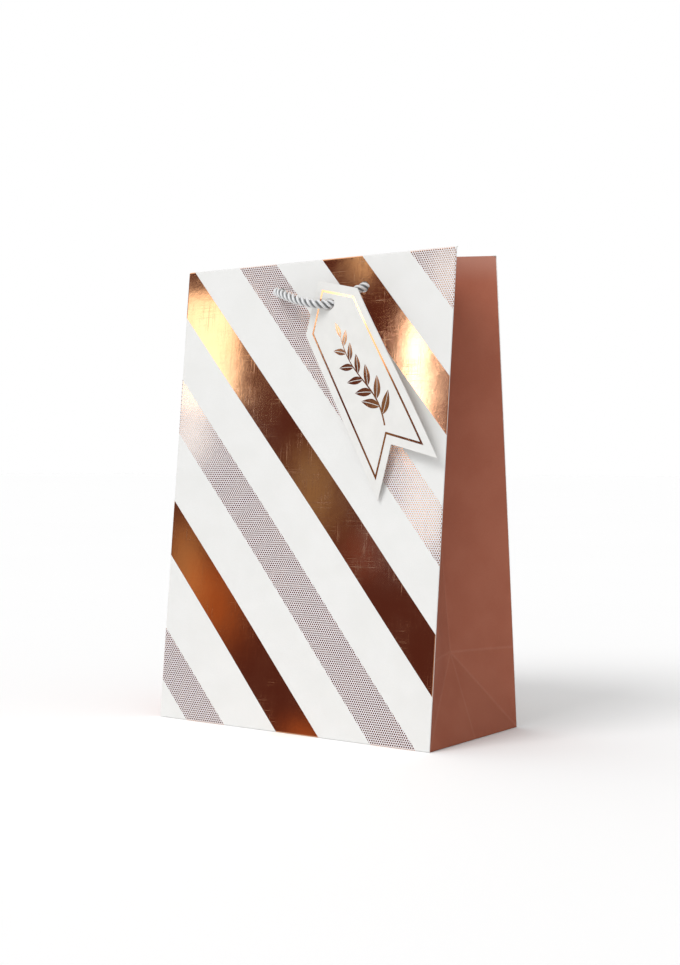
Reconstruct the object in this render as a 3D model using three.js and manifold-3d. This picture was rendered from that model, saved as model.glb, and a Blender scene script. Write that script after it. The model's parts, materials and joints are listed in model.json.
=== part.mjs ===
// A paper gift bag with its two rope handles tucked inside and a swallowtail tag on the front handle.
// Millimetres, +Z up. Origin at the centre of the bottom; the front wall faces -Y and X runs across it.
import * as THREE from 'three';
import { mergeVertices } from 'three/addons/utils/BufferGeometryUtils.js';
import Module from 'manifold-3d';

const wasm = await Module();
wasm.setup();

// ---- driving dimensions ----
const bagWidth = 180;
const bagDepth = 90;
const bagHeight = 254;
const mouthDepth = 41; // front to back at the rim; the walls lean in from the bottom to this

const paper = 0.4; // printed sheet
const card = 0.5; // stiffener strip under the turned-in rim
const turnIn = 0.3; // the rim folded down inside
const board = 1.2; // loose insert on the bottom
const gap = 0.3; // air between neighbouring sheets

// The side gussets fold inwards along a centre crease that starts at the apex of the bottom triangle.
const apexHeight = 44.4;
const apexInset = 15.5;
const rimInset = 38.4;
const outerShare = 0.4; // part of a gusset half that moves with the wall
const innerShare = 0.47; // where the part that moves with the centre crease begins
const gussetFoot = 8; // the creased halves begin this far above the bottom edge
const gussetRows = 12;

const rimBand = 35; // height of the stiffener and the turned-in rim
const rimSideGap = 6;
const rimEdgeSetback = 0.6;
const seamWidth = 18;
const seamSetback = 4;

const cordDiameter = 5;
const cordSides = 10;
const cordSteps = 72;
const cordHoleSlack = 0.45;
const knotRadius = 6;
const knotLength = 12;
const knotTailLength = 7;
const knotSides = 12;

const tagWidth = 44.8;
const tagPointHeight = 20.2;
const tagSideLength = 101.6;
const tagNotchDepth = 21;
const tagThickness = 0.4;
const tagHoleRadius = 5;
const tagHoleFromPoint = 15.3;
const tagHolePlace = new THREE.Vector3(18.1, 227.8, 8.9); // across, up and out from the front wall
const tagTip = THREE.MathUtils.degToRad(2.2); // the tails lie nearer the wall than the point
const tagTurn = THREE.MathUtils.degToRad(-8); // the right edge stands further off the wall
const tagSpin = THREE.MathUtils.degToRad(29.2); // hangs askew, its tails to the right

const bottomSideGap = 1.5; // the bottom flaps stop this far inside the gussets
const bottomWallGap = 1; // and this far inside the walls
const flapOverlap = 10; // each side of the middle, where the back flap lies on the front one
const flapJog = 2; // run of the back flap's step up
const sideFlapLength = 42;
const boardSideGap = 3;
const boardWallGap = 2.5;

// ---- worked out from them ----
const halfWidth = bagWidth / 2;
const halfDepth = bagDepth / 2;
const wallLean = Math.atan2(halfDepth - mouthDepth / 2, bagHeight);
const wallLength = bagHeight / Math.cos(wallLean);
const cordRadius = cordDiameter / 2;

// Handle routes as points (across, up, out) on their wall, seen from outside: up from the first knot,
// out through one hole, along the wall, in through the other hole and down to the second knot.
const frontCordRoute = [
  [-24.6, 106, -22.4], [-25.4, 128, -20.4], [-24.9, 150, -18.2], [-23.2, 174, -15.8],
  [-21.6, 198, -13.5], [-21, 216, -11.9], [-21, 226, -11.1], [-21, 230.8, -10.3],
  [-21, 234.7, -7.9], [-21, 237.2, -4.3], [-21, 238, 0], [-20.3, 237.9, 4],
  [-18, 237.2, 7.8], [-14.4, 236, 10.6], [-9, 233.8, 12.5], [-3, 231.6, 13.4],
  [3.6, 229.6, 13.8], [9.4, 228.2, 13.2], [14.2, 227.6, 11.6], [18, 227.8, 8.8],
  [21.7, 229.2, 6.4], [25.8, 232, 4.5], [30.2, 235.5, 2.6], [34, 238, 0],
  [37.4, 239.2, -3.1], [40.6, 238.9, -6.3], [43.2, 236.9, -9.2], [44.9, 233.2, -11.4],
  [45.5, 228, -12.6], [45.2, 218, -13.6], [43.4, 200, -15.4], [41, 178, -17.5],
  [39.3, 156, -19.6], [39, 134, -21.6], [40, 114, -23.5], [40.6, 104, -24.4],
];
const backCordRoute = [
  [-36.2, 103, -23.1], [-36.9, 130, -20.6], [-36.2, 152, -18.4], [-35, 176, -16],
  [-34.2, 198, -13.7], [-34, 216, -11.9], [-34, 226, -11.1], [-34, 230.8, -10.3],
  [-34, 234.7, -7.9], [-34, 237.2, -4.3], [-34, 238, 0], [-33.3, 237.9, 4],
  [-31, 237.2, 7.7], [-27.2, 235.9, 10.4], [-21.6, 234.4, 11.9], [-14, 233, 12.6],
  [-6.5, 232.5, 12.8], [1, 233, 12.6], [8.6, 234.4, 11.9], [14.2, 235.9, 10.4],
  [18, 237.2, 7.7], [20.3, 237.9, 4], [21, 238, 0], [21, 237.2, -4.3],
  [21, 234.7, -7.9], [21, 230.8, -10.3], [21, 226, -11.1], [21.1, 216, -11.9],
  [21.8, 198, -13.7], [23, 176, -16], [24.1, 152, -18.4], [24.4, 130, -20.6],
  [23.4, 98.6, -23.5],
];

const finishes = {
  whitePaper: { color: 0xf1f1ef, roughness: 0.55, metalness: 0 },
  terracotta: { color: 0x9a573f, roughness: 0.75, metalness: 0 },
  greyBoard: { color: 0xb9b2a6, roughness: 0.9, metalness: 0 },
  tagCard: { color: 0xf4f3f0, roughness: 0.6, metalness: 0 },
  satinCord: { color: 0xd9dbdc, roughness: 0.35, metalness: 0 },
};

function makePiece(name, geometry, finish) {
  const mesh = new THREE.Mesh(geometry, new THREE.MeshStandardMaterial(finishes[finish]));
  mesh.name = name;
  return mesh;
}

function toManifold(geometry) {
  const bare = geometry.clone();
  bare.deleteAttribute('normal');
  bare.deleteAttribute('uv');
  const merged = mergeVertices(bare, 1e-4);
  const vertProperties = new Float32Array(merged.attributes.position.array);
  const triVerts = new Uint32Array(merged.index.array);
  return new wasm.Manifold(new wasm.Mesh({ numProp: 3, vertProperties, triVerts }));
}

function toGeometry(solid) {
  const mesh = solid.getMesh();
  const geometry = new THREE.BufferGeometry();
  geometry.setAttribute('position', new THREE.BufferAttribute(mesh.vertProperties, 3));
  geometry.setIndex(new THREE.BufferAttribute(mesh.triVerts, 1));
  geometry.computeVertexNormals();
  return geometry;
}

function subtract(geometry, cutter) {
  return toGeometry(toManifold(geometry).subtract(toManifold(cutter)));
}

// ---- flat sheets ----

function outline(points) {
  return new THREE.Shape(points.map(([x, y]) => new THREE.Vector2(x, y)));
}

function rectangle(left, bottom, right, top) {
  return outline([[left, bottom], [right, bottom], [right, top], [left, top]]);
}

// A plate whose outer face is at height `face` and whose thickness goes down from it.
function plate(shape, thickness, face) {
  const geometry = new THREE.ExtrudeGeometry(shape, { depth: thickness, bevelEnabled: false });
  return geometry.translate(0, 0, face - thickness);
}

// ---- handles ----

function cordCurve(route) {
  const points = route.map(([across, up, out]) => new THREE.Vector3(across, up, out));
  return new THREE.CatmullRomCurve3(points, false, 'centripetal');
}

function tubeAlong(curve, radius) {
  const section = new THREE.Shape();
  for (let i = 0; i < cordSides; i++) {
    const angle = (2 * Math.PI * i) / cordSides;
    const place = [radius * Math.cos(angle), radius * Math.sin(angle)];
    if (i === 0) section.moveTo(...place);
    else section.lineTo(...place);
  }
  section.closePath();
  return new THREE.ExtrudeGeometry(section, { extrudePath: curve, steps: cordSteps, bevelEnabled: false });
}

// A tied knot with its short trimmed end, as one turned solid. It hangs along -Y from the cord's end.
function knotGeometry() {
  const shoulder = (knotRadius + cordRadius) / 2;
  const bottom = -(knotLength + knotTailLength);
  const profile = [
    [0, bottom], [cordRadius, bottom], [cordRadius, -knotLength], [shoulder, -knotLength * 0.85],
    [knotRadius, -knotLength * 0.5], [shoulder, -knotLength * 0.15], [cordRadius, 0], [0, 0],
  ];
  return new THREE.LatheGeometry(profile.map(([x, y]) => new THREE.Vector2(x, y)), knotSides);
}

function knotAtEnd(name, curve, atStart) {
  const knot = makePiece(name, knotGeometry(), 'satinCord');
  const end = curve.getPointAt(atStart ? 0 : 1);
  const along = curve.getTangentAt(atStart ? 0 : 1).multiplyScalar(atStart ? -1 : 1);
  knot.quaternion.setFromUnitVectors(new THREE.Vector3(0, -1, 0), along);
  knot.position.copy(end).addScaledVector(along, gap);
  return knot;
}

// ---- front and back walls, with what is fixed to them ----

// A wall's group has X across, Y up the wall and Z out of it, with its origin at the bottom edge.
function wallGroup(side, route) {
  const wall = new THREE.Group();
  wall.position.set(0, -halfDepth, 0);
  wall.rotation.x = Math.PI / 2 - wallLean;

  const curve = cordCurve(route);
  const holeCutter = tubeAlong(curve, cordRadius + cordHoleSlack);
  const cardFace = -(paper + gap);
  const turnInFace = cardFace - card - gap;
  const rimHalf = halfWidth - rimSideGap;
  const panel = plate(rectangle(-halfWidth, gap, halfWidth, wallLength), paper, 0);
  const stiffener = plate(
    rectangle(-rimHalf, wallLength - rimBand, rimHalf, wallLength - rimEdgeSetback), card, cardFace);
  const rim = plate(
    rectangle(-rimHalf, wallLength - rimBand, rimHalf, wallLength - rimEdgeSetback), turnIn, turnInFace);

  wall.add(makePiece(`${side}_panel`, subtract(panel, holeCutter), 'whitePaper'));
  wall.add(makePiece(`${side}_rim_stiffener`, subtract(stiffener, holeCutter), 'greyBoard'));
  wall.add(makePiece(`${side}_turned_in_rim`, subtract(rim, holeCutter), 'whitePaper'));
  wall.add(makePiece(`${side}_handle_cord`, tubeAlong(curve, cordRadius), 'satinCord'));
  wall.add(knotAtEnd(`${side}_handle_knot_a`, curve, true));
  wall.add(knotAtEnd(`${side}_handle_knot_b`, curve, false));
  return wall;
}

// The strip that closes the folded sheet into a tube, glued inside the back wall along one side.
function glueSeam() {
  const right = halfWidth - seamSetback;
  const shape = rectangle(right - seamWidth, gussetFoot, right, wallLength - rimBand - gap);
  return makePiece('glue_seam_flap', plate(shape, paper, -(paper + gap)), 'terracotta');
}

function giftTag() {
  const half = tagWidth / 2;
  const point = tagHoleFromPoint;
  const shoulder = point - tagPointHeight;
  const tip = shoulder - tagSideLength;
  const shape = outline([
    [0, point], [-half, shoulder], [-half, tip], [0, tip + tagNotchDepth], [half, tip], [half, shoulder],
  ]);
  shape.holes.push(new THREE.Path().absarc(0, 0, tagHoleRadius, 0, 2 * Math.PI, true));
  const tag = makePiece('gift_tag', plate(shape, tagThickness, tagThickness / 2), 'tagCard');
  tag.position.copy(tagHolePlace);
  tag.rotation.set(tagTip, tagTurn, tagSpin, 'ZYX');
  return tag;
}

// ---- side gussets ----

// A point on the front half of the right gusset: share 0 is the wall's side edge and share 1 is the
// diagonal crease below the apex, or the centre crease above it.
function gussetPoint(height, share) {
  const edge = new THREE.Vector3(halfWidth, -halfDepth + height * Math.tan(wallLean), height);
  const low = height / apexHeight;
  const high = (height - apexHeight) / (bagHeight - apexHeight);
  const inset = high < 0 ? apexInset * low : THREE.MathUtils.lerp(apexInset, rimInset, high);
  const depth = high < 0 ? -halfDepth * (1 - low) : 0;
  return edge.lerp(new THREE.Vector3(halfWidth - inset, depth, height), share);
}

function gussetWidth(height) {
  return gussetPoint(height, 0).distanceTo(gussetPoint(height, 1));
}

// The share at which the sheet's inner face is clear of the wall's inner face.
function shareClearOfWall(height) {
  const across = gussetPoint(height, 1).sub(gussetPoint(height, 0)).normalize();
  const depth = (paper + gap) / Math.cos(wallLean) + paper * Math.abs(across.x);
  return depth / across.y / gussetWidth(height);
}

// The share that leaves room for half of the fold at the crease.
function shareClearOfCrease(height) {
  return 1 - (paper + gap) / gussetWidth(height);
}

// A creased sheet between two share functions, one row of points at each height, thickened inwards.
function gussetSheet(shareA, shareB) {
  const apexRow = Math.round((gussetRows * (apexHeight - gussetFoot)) / (bagHeight - gussetFoot));
  const heights = [];
  for (let row = 0; row <= gussetRows; row++) {
    const below = row <= apexRow;
    const t = below ? row / apexRow : (row - apexRow) / (gussetRows - apexRow);
    heights.push(below
      ? THREE.MathUtils.lerp(gussetFoot, apexHeight, t)
      : THREE.MathUtils.lerp(apexHeight, bagHeight, t));
  }
  const outside = [];
  const inside = [];
  for (const height of heights) {
    const a = gussetPoint(height, shareA(height));
    const b = gussetPoint(height, shareB(height));
    const across = b.clone().sub(a).normalize();
    const inward = across.cross(new THREE.Vector3(0, 0, 1)).negate().setZ(0).setLength(paper);
    outside.push(a, b);
    inside.push(a.clone().add(inward), b.clone().add(inward));
  }
  return closedStrip(outside, inside);
}

// A closed solid from two matching strips of point pairs.
function closedStrip(outside, inside) {
  const rows = outside.length / 2;
  const corner = (row, side, layer) => layer * rows * 2 + row * 2 + side;
  const triangles = [];
  const quad = (a, b, c, d) => triangles.push(a, b, c, a, c, d);
  for (let row = 0; row < rows - 1; row++) {
    quad(corner(row, 0, 0), corner(row, 1, 0), corner(row + 1, 1, 0), corner(row + 1, 0, 0));
    quad(corner(row, 0, 1), corner(row + 1, 0, 1), corner(row + 1, 1, 1), corner(row, 1, 1));
    for (const side of [0, 1]) {
      const near = [corner(row, side, 0), corner(row + 1, side, 0)];
      const far = [corner(row + 1, side, 1), corner(row, side, 1)];
      const loop = [...near, ...far];
      if (side === 0) quad(...loop);
      else quad(...loop.reverse());
    }
  }
  const last = rows - 1;
  quad(corner(0, 0, 0), corner(0, 0, 1), corner(0, 1, 1), corner(0, 1, 0));
  quad(corner(last, 0, 0), corner(last, 1, 0), corner(last, 1, 1), corner(last, 0, 1));
  const geometry = new THREE.BufferGeometry();
  const positions = [...outside, ...inside].flatMap((point) => point.toArray());
  geometry.setAttribute('position', new THREE.Float32BufferAttribute(positions, 3));
  geometry.setIndex(triangles);
  geometry.computeVertexNormals();
  return geometry;
}

// The same sheet on the other side of the plane X = 0 or Y = 0.
function mirrored(geometry, x, y) {
  const copy = geometry.clone().scale(x, y, 1);
  if (x * y < 0) {
    const index = copy.index.array;
    for (let i = 0; i < index.length; i += 3) {
      [index[i], index[i + 1]] = [index[i + 1], index[i]];
    }
  }
  copy.computeVertexNormals();
  return copy;
}

// The flat triangle between the bottom edge and the two diagonal creases, leaning in to the apex.
function bottomTriangle() {
  const lean = Math.atan2(apexInset, apexHeight);
  const height = Math.hypot(apexInset, apexHeight);
  const slope = Math.hypot(halfDepth, height) / height;
  const half = halfDepth - gap - gap * slope - paper;
  const shape = outline([[-half, gap], [half, gap], [0, height * (half / halfDepth)]]);
  const geometry = plate(shape, paper, 0);
  geometry.rotateX(Math.PI / 2);
  geometry.rotateZ(Math.PI / 2);
  geometry.rotateY(-lean);
  return geometry.translate(halfWidth, 0, 0);
}

function addGusset(group, side, direction) {
  const outer = gussetSheet(shareClearOfWall, () => outerShare);
  const inner = gussetSheet(() => innerShare, shareClearOfCrease);
  for (const [end, across] of [['front', 1], ['back', -1]]) {
    const outerPiece = mirrored(outer, direction, across);
    const innerPiece = mirrored(inner, direction, across);
    group.add(makePiece(`${side}_gusset_outer_${end}`, outerPiece, 'terracotta'));
    group.add(makePiece(`${side}_gusset_inner_${end}`, innerPiece, 'terracotta'));
  }
  const triangle = makePiece(`${side}_gusset_bottom`, bottomTriangle(), 'terracotta');
  triangle.rotation.z = direction > 0 ? 0 : Math.PI;
  group.add(triangle);
}

// ---- bottom ----

// The back flap rises by one sheet where it is glued over the front flap.
function bottomFlaps() {
  const flaps = new THREE.Group();
  const half = halfWidth - bottomSideGap;
  const edge = halfDepth - bottomWallGap;
  const step = paper + gap;

  const acrossX = (points, name) => {
    const geometry = new THREE.ExtrudeGeometry(outline(points), { depth: 2 * half, bevelEnabled: false });
    geometry.translate(0, 0, -half);
    geometry.rotateX(Math.PI / 2);
    geometry.rotateZ(Math.PI / 2);
    flaps.add(makePiece(name, geometry, 'whitePaper'));
  };
  acrossX([
    [-edge, 0], [flapOverlap, 0], [flapOverlap, paper], [-edge, paper],
  ], 'bottom_front_flap');
  const riser = flapOverlap + gap + flapJog;
  acrossX([
    [riser, 0], [flapOverlap, step], [-flapOverlap, step], [-flapOverlap, step + paper],
    [flapOverlap - paper, step + paper], [riser - paper, paper], [edge, paper], [edge, 0],
  ], 'bottom_back_flap');

  const sideFace = 2 * step + paper;
  for (const [side, direction] of [['right', 1], ['left', -1]]) {
    const shape = outline([
      [half - sideFlapLength, -edge + sideFlapLength / 2], [half, -edge], [half, edge],
      [half - sideFlapLength, edge - sideFlapLength / 2],
    ]);
    const flap = makePiece(`bottom_${side}_flap`, plate(shape, paper, sideFace), 'whitePaper');
    flap.rotation.z = direction > 0 ? 0 : Math.PI;
    flaps.add(flap);
  }
  return flaps;
}

function baseBoard() {
  const flapLayers = 3;
  const thicknessBelow = flapLayers * (paper + gap);
  const halfX = halfWidth - boardSideGap;
  const halfY = halfDepth - boardWallGap;
  const shape = rectangle(-halfX, -halfY, halfX, halfY);
  return makePiece('base_board', plate(shape, board, thicknessBelow + board), 'greyBoard');
}

// ---- the bag ----

const group = new THREE.Group();

const frontWall = wallGroup('front', frontCordRoute);
frontWall.add(giftTag());
group.add(frontWall);

const backSide = new THREE.Group();
backSide.rotation.z = Math.PI;
const backWall = wallGroup('back', backCordRoute);
backWall.add(glueSeam());
backSide.add(backWall);
group.add(backSide);

addGusset(group, 'right', 1);
addGusset(group, 'left', -1);
group.add(bottomFlaps());
group.add(baseBoard());

export default group;
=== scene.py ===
# The looks of a folded-paper gift bag: white paper with slanting foil and dotted bands, terracotta side
# gussets, twisted rope handles and a swallowtail tag.
# Metres, +Z up. A wall's own axes are (across, up, out), and out is 0 on its outer face.
import json
import math

import bmesh
import bpy
import numpy as np
from mathutils import Euler, Matrix, Vector, noise


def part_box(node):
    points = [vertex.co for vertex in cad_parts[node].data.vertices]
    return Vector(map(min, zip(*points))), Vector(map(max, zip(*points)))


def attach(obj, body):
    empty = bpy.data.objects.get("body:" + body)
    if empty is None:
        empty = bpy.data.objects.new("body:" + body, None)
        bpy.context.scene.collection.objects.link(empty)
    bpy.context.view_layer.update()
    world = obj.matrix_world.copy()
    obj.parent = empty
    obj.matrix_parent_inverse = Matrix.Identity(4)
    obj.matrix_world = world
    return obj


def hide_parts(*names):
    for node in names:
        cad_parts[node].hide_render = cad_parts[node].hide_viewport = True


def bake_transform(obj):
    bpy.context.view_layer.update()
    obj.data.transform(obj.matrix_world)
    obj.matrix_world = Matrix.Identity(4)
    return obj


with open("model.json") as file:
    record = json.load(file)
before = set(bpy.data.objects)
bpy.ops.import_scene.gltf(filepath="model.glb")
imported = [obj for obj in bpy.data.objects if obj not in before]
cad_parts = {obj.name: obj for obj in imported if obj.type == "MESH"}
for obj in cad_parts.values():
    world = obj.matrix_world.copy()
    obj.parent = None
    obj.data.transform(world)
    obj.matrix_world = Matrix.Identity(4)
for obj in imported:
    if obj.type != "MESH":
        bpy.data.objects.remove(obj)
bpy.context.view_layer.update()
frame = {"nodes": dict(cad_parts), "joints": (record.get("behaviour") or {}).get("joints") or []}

# ---- sizes from the frame ----
joints = {joint["name"]: joint for joint in frame["joints"]}
nodes = frame["nodes"]
half_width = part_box("front_panel")[1].x
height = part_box("front_panel")[1].z
half_depth = -joints["front_wall_tilt"]["pos_m"][1]
wall_normal = Vector(joints["tag_swing"]["axis"])
lean = math.atan2(wall_normal.z, -wall_normal.y)
wall_length = height / math.cos(lean)

# ---- sizes of the paper and what is on it ----
PAPER = 0.00035
RIM_BAND = 0.035  # depth of the turned-in rim
RIM_SIDE_GAP = 0.006
RIM_FOLD = 0.0009  # radius of the fold over the stiffener
SIDE_FOLD = 0.0004
BOTTOM_FOLD = 0.0006
FOLD_SUPPORT = 0.0003  # extra cut beside a fold, which keeps its shading narrow
WALL_STEP = 0.003  # spacing of a wall's grid between its folds
BOW = 0.0016  # how far the middle of a wall is pressed in
RIPPLE = 0.00022
RIPPLE_SCALE = 16.0
RIPPLE_FADE = 0.03  # ripples fade out this near to a fold
FRONT_SEED = 1.0
BACK_SEED = 2.0
FOIL_LIFT = 0.00004  # printed foil stands this far off the paper
EDGE_MARGIN = 0.0001  # a printed band stops this far from the sheet's edge

HOLE_RADIUS = 0.003
FRONT_HOLES = [(-0.021, 0.238), (0.034, 0.238)]
BACK_HOLES = [(-0.034, 0.238), (0.021, 0.238)]

APEX_HEIGHT = 0.0444  # the gusset's creases meet here
APEX_INSET = 0.0155
RIM_INSET = 0.0384

# Slanting bands: kind, height of the lower and upper edge at the middle of the wall, and fall across it.
BANDS = [
    ("dots", -0.074, -0.045, 1.06),
    ("foil", -0.007, 0.024, 1.10),
    ("dots", 0.061, 0.092, 1.12),
    ("foil", 0.128, 0.159, 1.12),
    ("dots", 0.195, 0.225, 1.14),
    ("foil", 0.261, 0.291, 1.14),
    ("dots", 0.325, 0.356, 1.14),
]

TAG_WIDTH = 0.0448
TAG_POINT_HEIGHT = 0.0202
TAG_SIDE_LENGTH = 0.1016
TAG_NOTCH = 0.021
TAG_THICKNESS = 0.0004
TAG_HOLE_SIZE = (0.0045, 0.0032)  # half sizes along and across the rope, which draws it into an oval
TAG_HOLE_TURN = math.radians(-17)
TAG_HOLE_FROM_POINT = 0.0153
TAG_SHOULDER = TAG_HOLE_FROM_POINT - TAG_POINT_HEIGHT
TAG_TIP = TAG_SHOULDER - TAG_SIDE_LENGTH
TAG_PLACE = Vector((0.0181, 0.2278, 0.0089))
TAG_TURNS = [math.radians(angle) for angle in (2.2, -8.0, 29.2)]

# Handle routes as (across, up, out) on their wall.
FRONT_ROUTE = [
    (-0.0246, 0.1060, -0.0224), (-0.0254, 0.1280, -0.0204), (-0.0249, 0.1500, -0.0182),
    (-0.0232, 0.1740, -0.0158), (-0.0216, 0.1980, -0.0135), (-0.0210, 0.2160, -0.0119),
    (-0.0210, 0.2260, -0.0111), (-0.0210, 0.2308, -0.0103), (-0.0210, 0.2347, -0.0079),
    (-0.0210, 0.2372, -0.0043), (-0.0210, 0.2380, 0.0000), (-0.0203, 0.2379, 0.0040),
    (-0.0180, 0.2372, 0.0078), (-0.0144, 0.2360, 0.0106), (-0.0090, 0.2338, 0.0125),
    (-0.0030, 0.2316, 0.0134), (0.0036, 0.2296, 0.0138), (0.0094, 0.2282, 0.0132),
    (0.0142, 0.2276, 0.0116), (0.0180, 0.2278, 0.0088), (0.0217, 0.2292, 0.0064),
    (0.0258, 0.2320, 0.0045), (0.0302, 0.2355, 0.0026), (0.0340, 0.2380, 0.0000),
    (0.0374, 0.2392, -0.0031), (0.0406, 0.2389, -0.0063), (0.0432, 0.2369, -0.0092),
    (0.0449, 0.2332, -0.0114), (0.0455, 0.2280, -0.0126), (0.0452, 0.2180, -0.0136),
    (0.0434, 0.2000, -0.0154), (0.0410, 0.1780, -0.0175), (0.0393, 0.1560, -0.0196),
    (0.0390, 0.1340, -0.0216), (0.0400, 0.1140, -0.0235), (0.0406, 0.1040, -0.0244),
]
BACK_ROUTE = [
    (-0.0362, 0.1030, -0.0231), (-0.0369, 0.1300, -0.0206), (-0.0362, 0.1520, -0.0184),
    (-0.0350, 0.1760, -0.0160), (-0.0342, 0.1980, -0.0137), (-0.0340, 0.2160, -0.0119),
    (-0.0340, 0.2260, -0.0111), (-0.0340, 0.2308, -0.0103), (-0.0340, 0.2347, -0.0079),
    (-0.0340, 0.2372, -0.0043), (-0.0340, 0.2380, 0.0000), (-0.0333, 0.2379, 0.0040),
    (-0.0310, 0.2372, 0.0077), (-0.0272, 0.2359, 0.0104), (-0.0216, 0.2344, 0.0119),
    (-0.0140, 0.2330, 0.0126), (-0.0065, 0.2325, 0.0128), (0.0010, 0.2330, 0.0126),
    (0.0086, 0.2344, 0.0119), (0.0142, 0.2359, 0.0104), (0.0180, 0.2372, 0.0077),
    (0.0203, 0.2379, 0.0040), (0.0210, 0.2380, 0.0000), (0.0210, 0.2372, -0.0043),
    (0.0210, 0.2347, -0.0079), (0.0210, 0.2308, -0.0103), (0.0210, 0.2260, -0.0111),
    (0.0211, 0.2160, -0.0119), (0.0218, 0.1980, -0.0137), (0.0230, 0.1760, -0.0160),
    (0.0241, 0.1520, -0.0184), (0.0244, 0.1300, -0.0206), (0.0234, 0.0986, -0.0235),
]


def wall_matrix(side):
    """From a wall's own axes to the row frame."""
    front = Matrix.Translation((0, -half_depth, 0)) @ Matrix.Rotation(math.pi / 2 - lean, 4, "X")
    return front if side == "front" else Matrix.Rotation(math.pi, 4, "Z") @ front


# ---- camera, floor and light ----

CAMERA_PLACE = Vector((0.4739, -0.6584, 0.1404))
CAMERA_AZIMUTH = math.radians(35.58)
CAMERA_ELEVATION = math.radians(0.52)
CAMERA_ROLL = math.radians(0.17)
CAMERA_LENS = 54.49


def place_object(name, data, matrix):
    placed = bpy.data.objects.new(name, data)
    bpy.context.scene.collection.objects.link(placed)
    placed.matrix_world = matrix
    return placed


def make_camera():
    data = bpy.data.cameras.new("camera")
    data.lens = CAMERA_LENS
    data.sensor_width = 36
    data.clip_start = 0.01
    turned = Matrix.Rotation(CAMERA_AZIMUTH, 4, "Z") @ Matrix.Rotation(math.pi / 2 - CAMERA_ELEVATION, 4, "X")
    turned = turned @ Matrix.Rotation(CAMERA_ROLL, 4, "Z")
    bpy.context.scene.camera = place_object("camera", data, Matrix.Translation(CAMERA_PLACE) @ turned)


# ---- shader helpers ----

def add(tree, kind, inputs=None, output=0, **settings):
    """Adds a shader node, sets or links its inputs, and returns one of its outputs."""
    node = tree.nodes.new("ShaderNode" + kind)
    for key, value in settings.items():
        setattr(node, key, value)
    for key, value in (inputs or {}).items():
        if isinstance(value, bpy.types.NodeSocket):
            tree.links.new(value, node.inputs[key])
        else:
            node.inputs[key].default_value = value
    return node.outputs[output]


def tree_of(*values):
    """The node tree of the first socket among the values."""
    return next(value.id_data for value in values if isinstance(value, bpy.types.NodeSocket))


def calc(operation, *values):
    return add(tree_of(*values), "Math", dict(enumerate(values)), operation=operation)


def vector_calc(operation, *values, output=0):
    return add(tree_of(*values), "VectorMath", dict(enumerate(values)), output, operation=operation)


def ramp(value, low, high, to_low=0.0, to_high=1.0):
    """A smooth step from to_low, where value is low, to to_high, where it is high."""
    inputs = {"Value": value, "From Min": low, "From Max": high, "To Min": to_low, "To Max": to_high}
    return add(tree_of(value), "MapRange", inputs, interpolation_type="SMOOTHSTEP")


def mix_color(factor, first, second):
    return add(tree_of(factor), "Mix", {0: factor, 6: first, 7: second}, 2, data_type="RGBA")


def split(vector):
    """The x, y and z of a vector."""
    return add(tree_of(vector), "SeparateXYZ", {0: vector}).node.outputs


def rough_noise(place, scale, detail=2.0, distortion=0.0):
    inputs = {"Vector": place, "Scale": scale, "Detail": detail, "Distortion": distortion}
    return add(tree_of(place), "TexNoise", inputs)


def bump(height_value, distance, strength=1.0, normal=None):
    inputs = {"Height": height_value, "Distance": distance, "Strength": strength}
    if normal is not None:
        inputs["Normal"] = normal
    return add(tree_of(height_value), "Bump", inputs)


def new_material(name, **values):
    """A material whose Principled shader has these constant values, and its node tree."""
    made = bpy.data.materials.new(name)
    made.use_nodes = True
    shader = made.node_tree.nodes["Principled BSDF"]
    for key, value in values.items():
        shader.inputs[key.replace("_", " ")].default_value = value
    return made, made.node_tree


def connect(made, **sockets):
    """Links these sockets to the material's shader, and returns the material."""
    shader = made.node_tree.nodes["Principled BSDF"]
    for key, socket in sockets.items():
        made.node_tree.links.new(socket, shader.inputs[key.replace("_", " ")])
    return made


def object_place(tree):
    return add(tree, "TexCoord", output=3)


def rest_place(tree):
    """Where a point of a gusset sheet lay as it was built."""
    return add(tree, "Attribute", output=1, attribute_name="rest")


def rgb(red, green, blue):
    return (red, green, blue, 1.0)


# ---- materials ----

WHITE = rgb(0.70, 0.70, 0.69)
WHITE_SHADE = rgb(0.67, 0.67, 0.655)
DOTTED_WHITE = rgb(0.69, 0.675, 0.695)
COPPER = rgb(0.96, 0.53, 0.30)
COPPER_SHADE = rgb(0.93, 0.47, 0.25)
CREASE_CORE = 0.0002  # half the width of a crease's palest part
CREASE_REACH = 0.0014
RIM_PAINTED_LIGHT = 0.016  # painted light: the terracotta paper is painted paler over this depth below the rim, where light falls into the fold from above


def paper_grain(place, fibre=1400.0, distance=0.00006):
    """The tooth of the sheet, from fine fibres over slow mottling."""
    fine = rough_noise(place, fibre, 5.0)
    slow = rough_noise(place, 90.0, 3.0)
    grain = calc("ADD", fine, calc("MULTIPLY", slow, 1.5))
    return bump(grain, distance, 0.5)


def white_paper():
    made, tree = new_material("white_paper", Specular_IOR_Level=0.35)
    place = object_place(tree)
    mottle = rough_noise(place, 55.0, 6.0)
    speck = rough_noise(place, 2600.0, 2.0)
    tone = calc("MULTIPLY", mottle, speck)
    return connect(
        made,
        Base_Color=mix_color(ramp(tone, 0.1, 0.42), WHITE_SHADE, WHITE),
        Roughness=ramp(mottle, 0.2, 0.8, 0.5, 0.62),
        Normal=paper_grain(place),
    )


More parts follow.
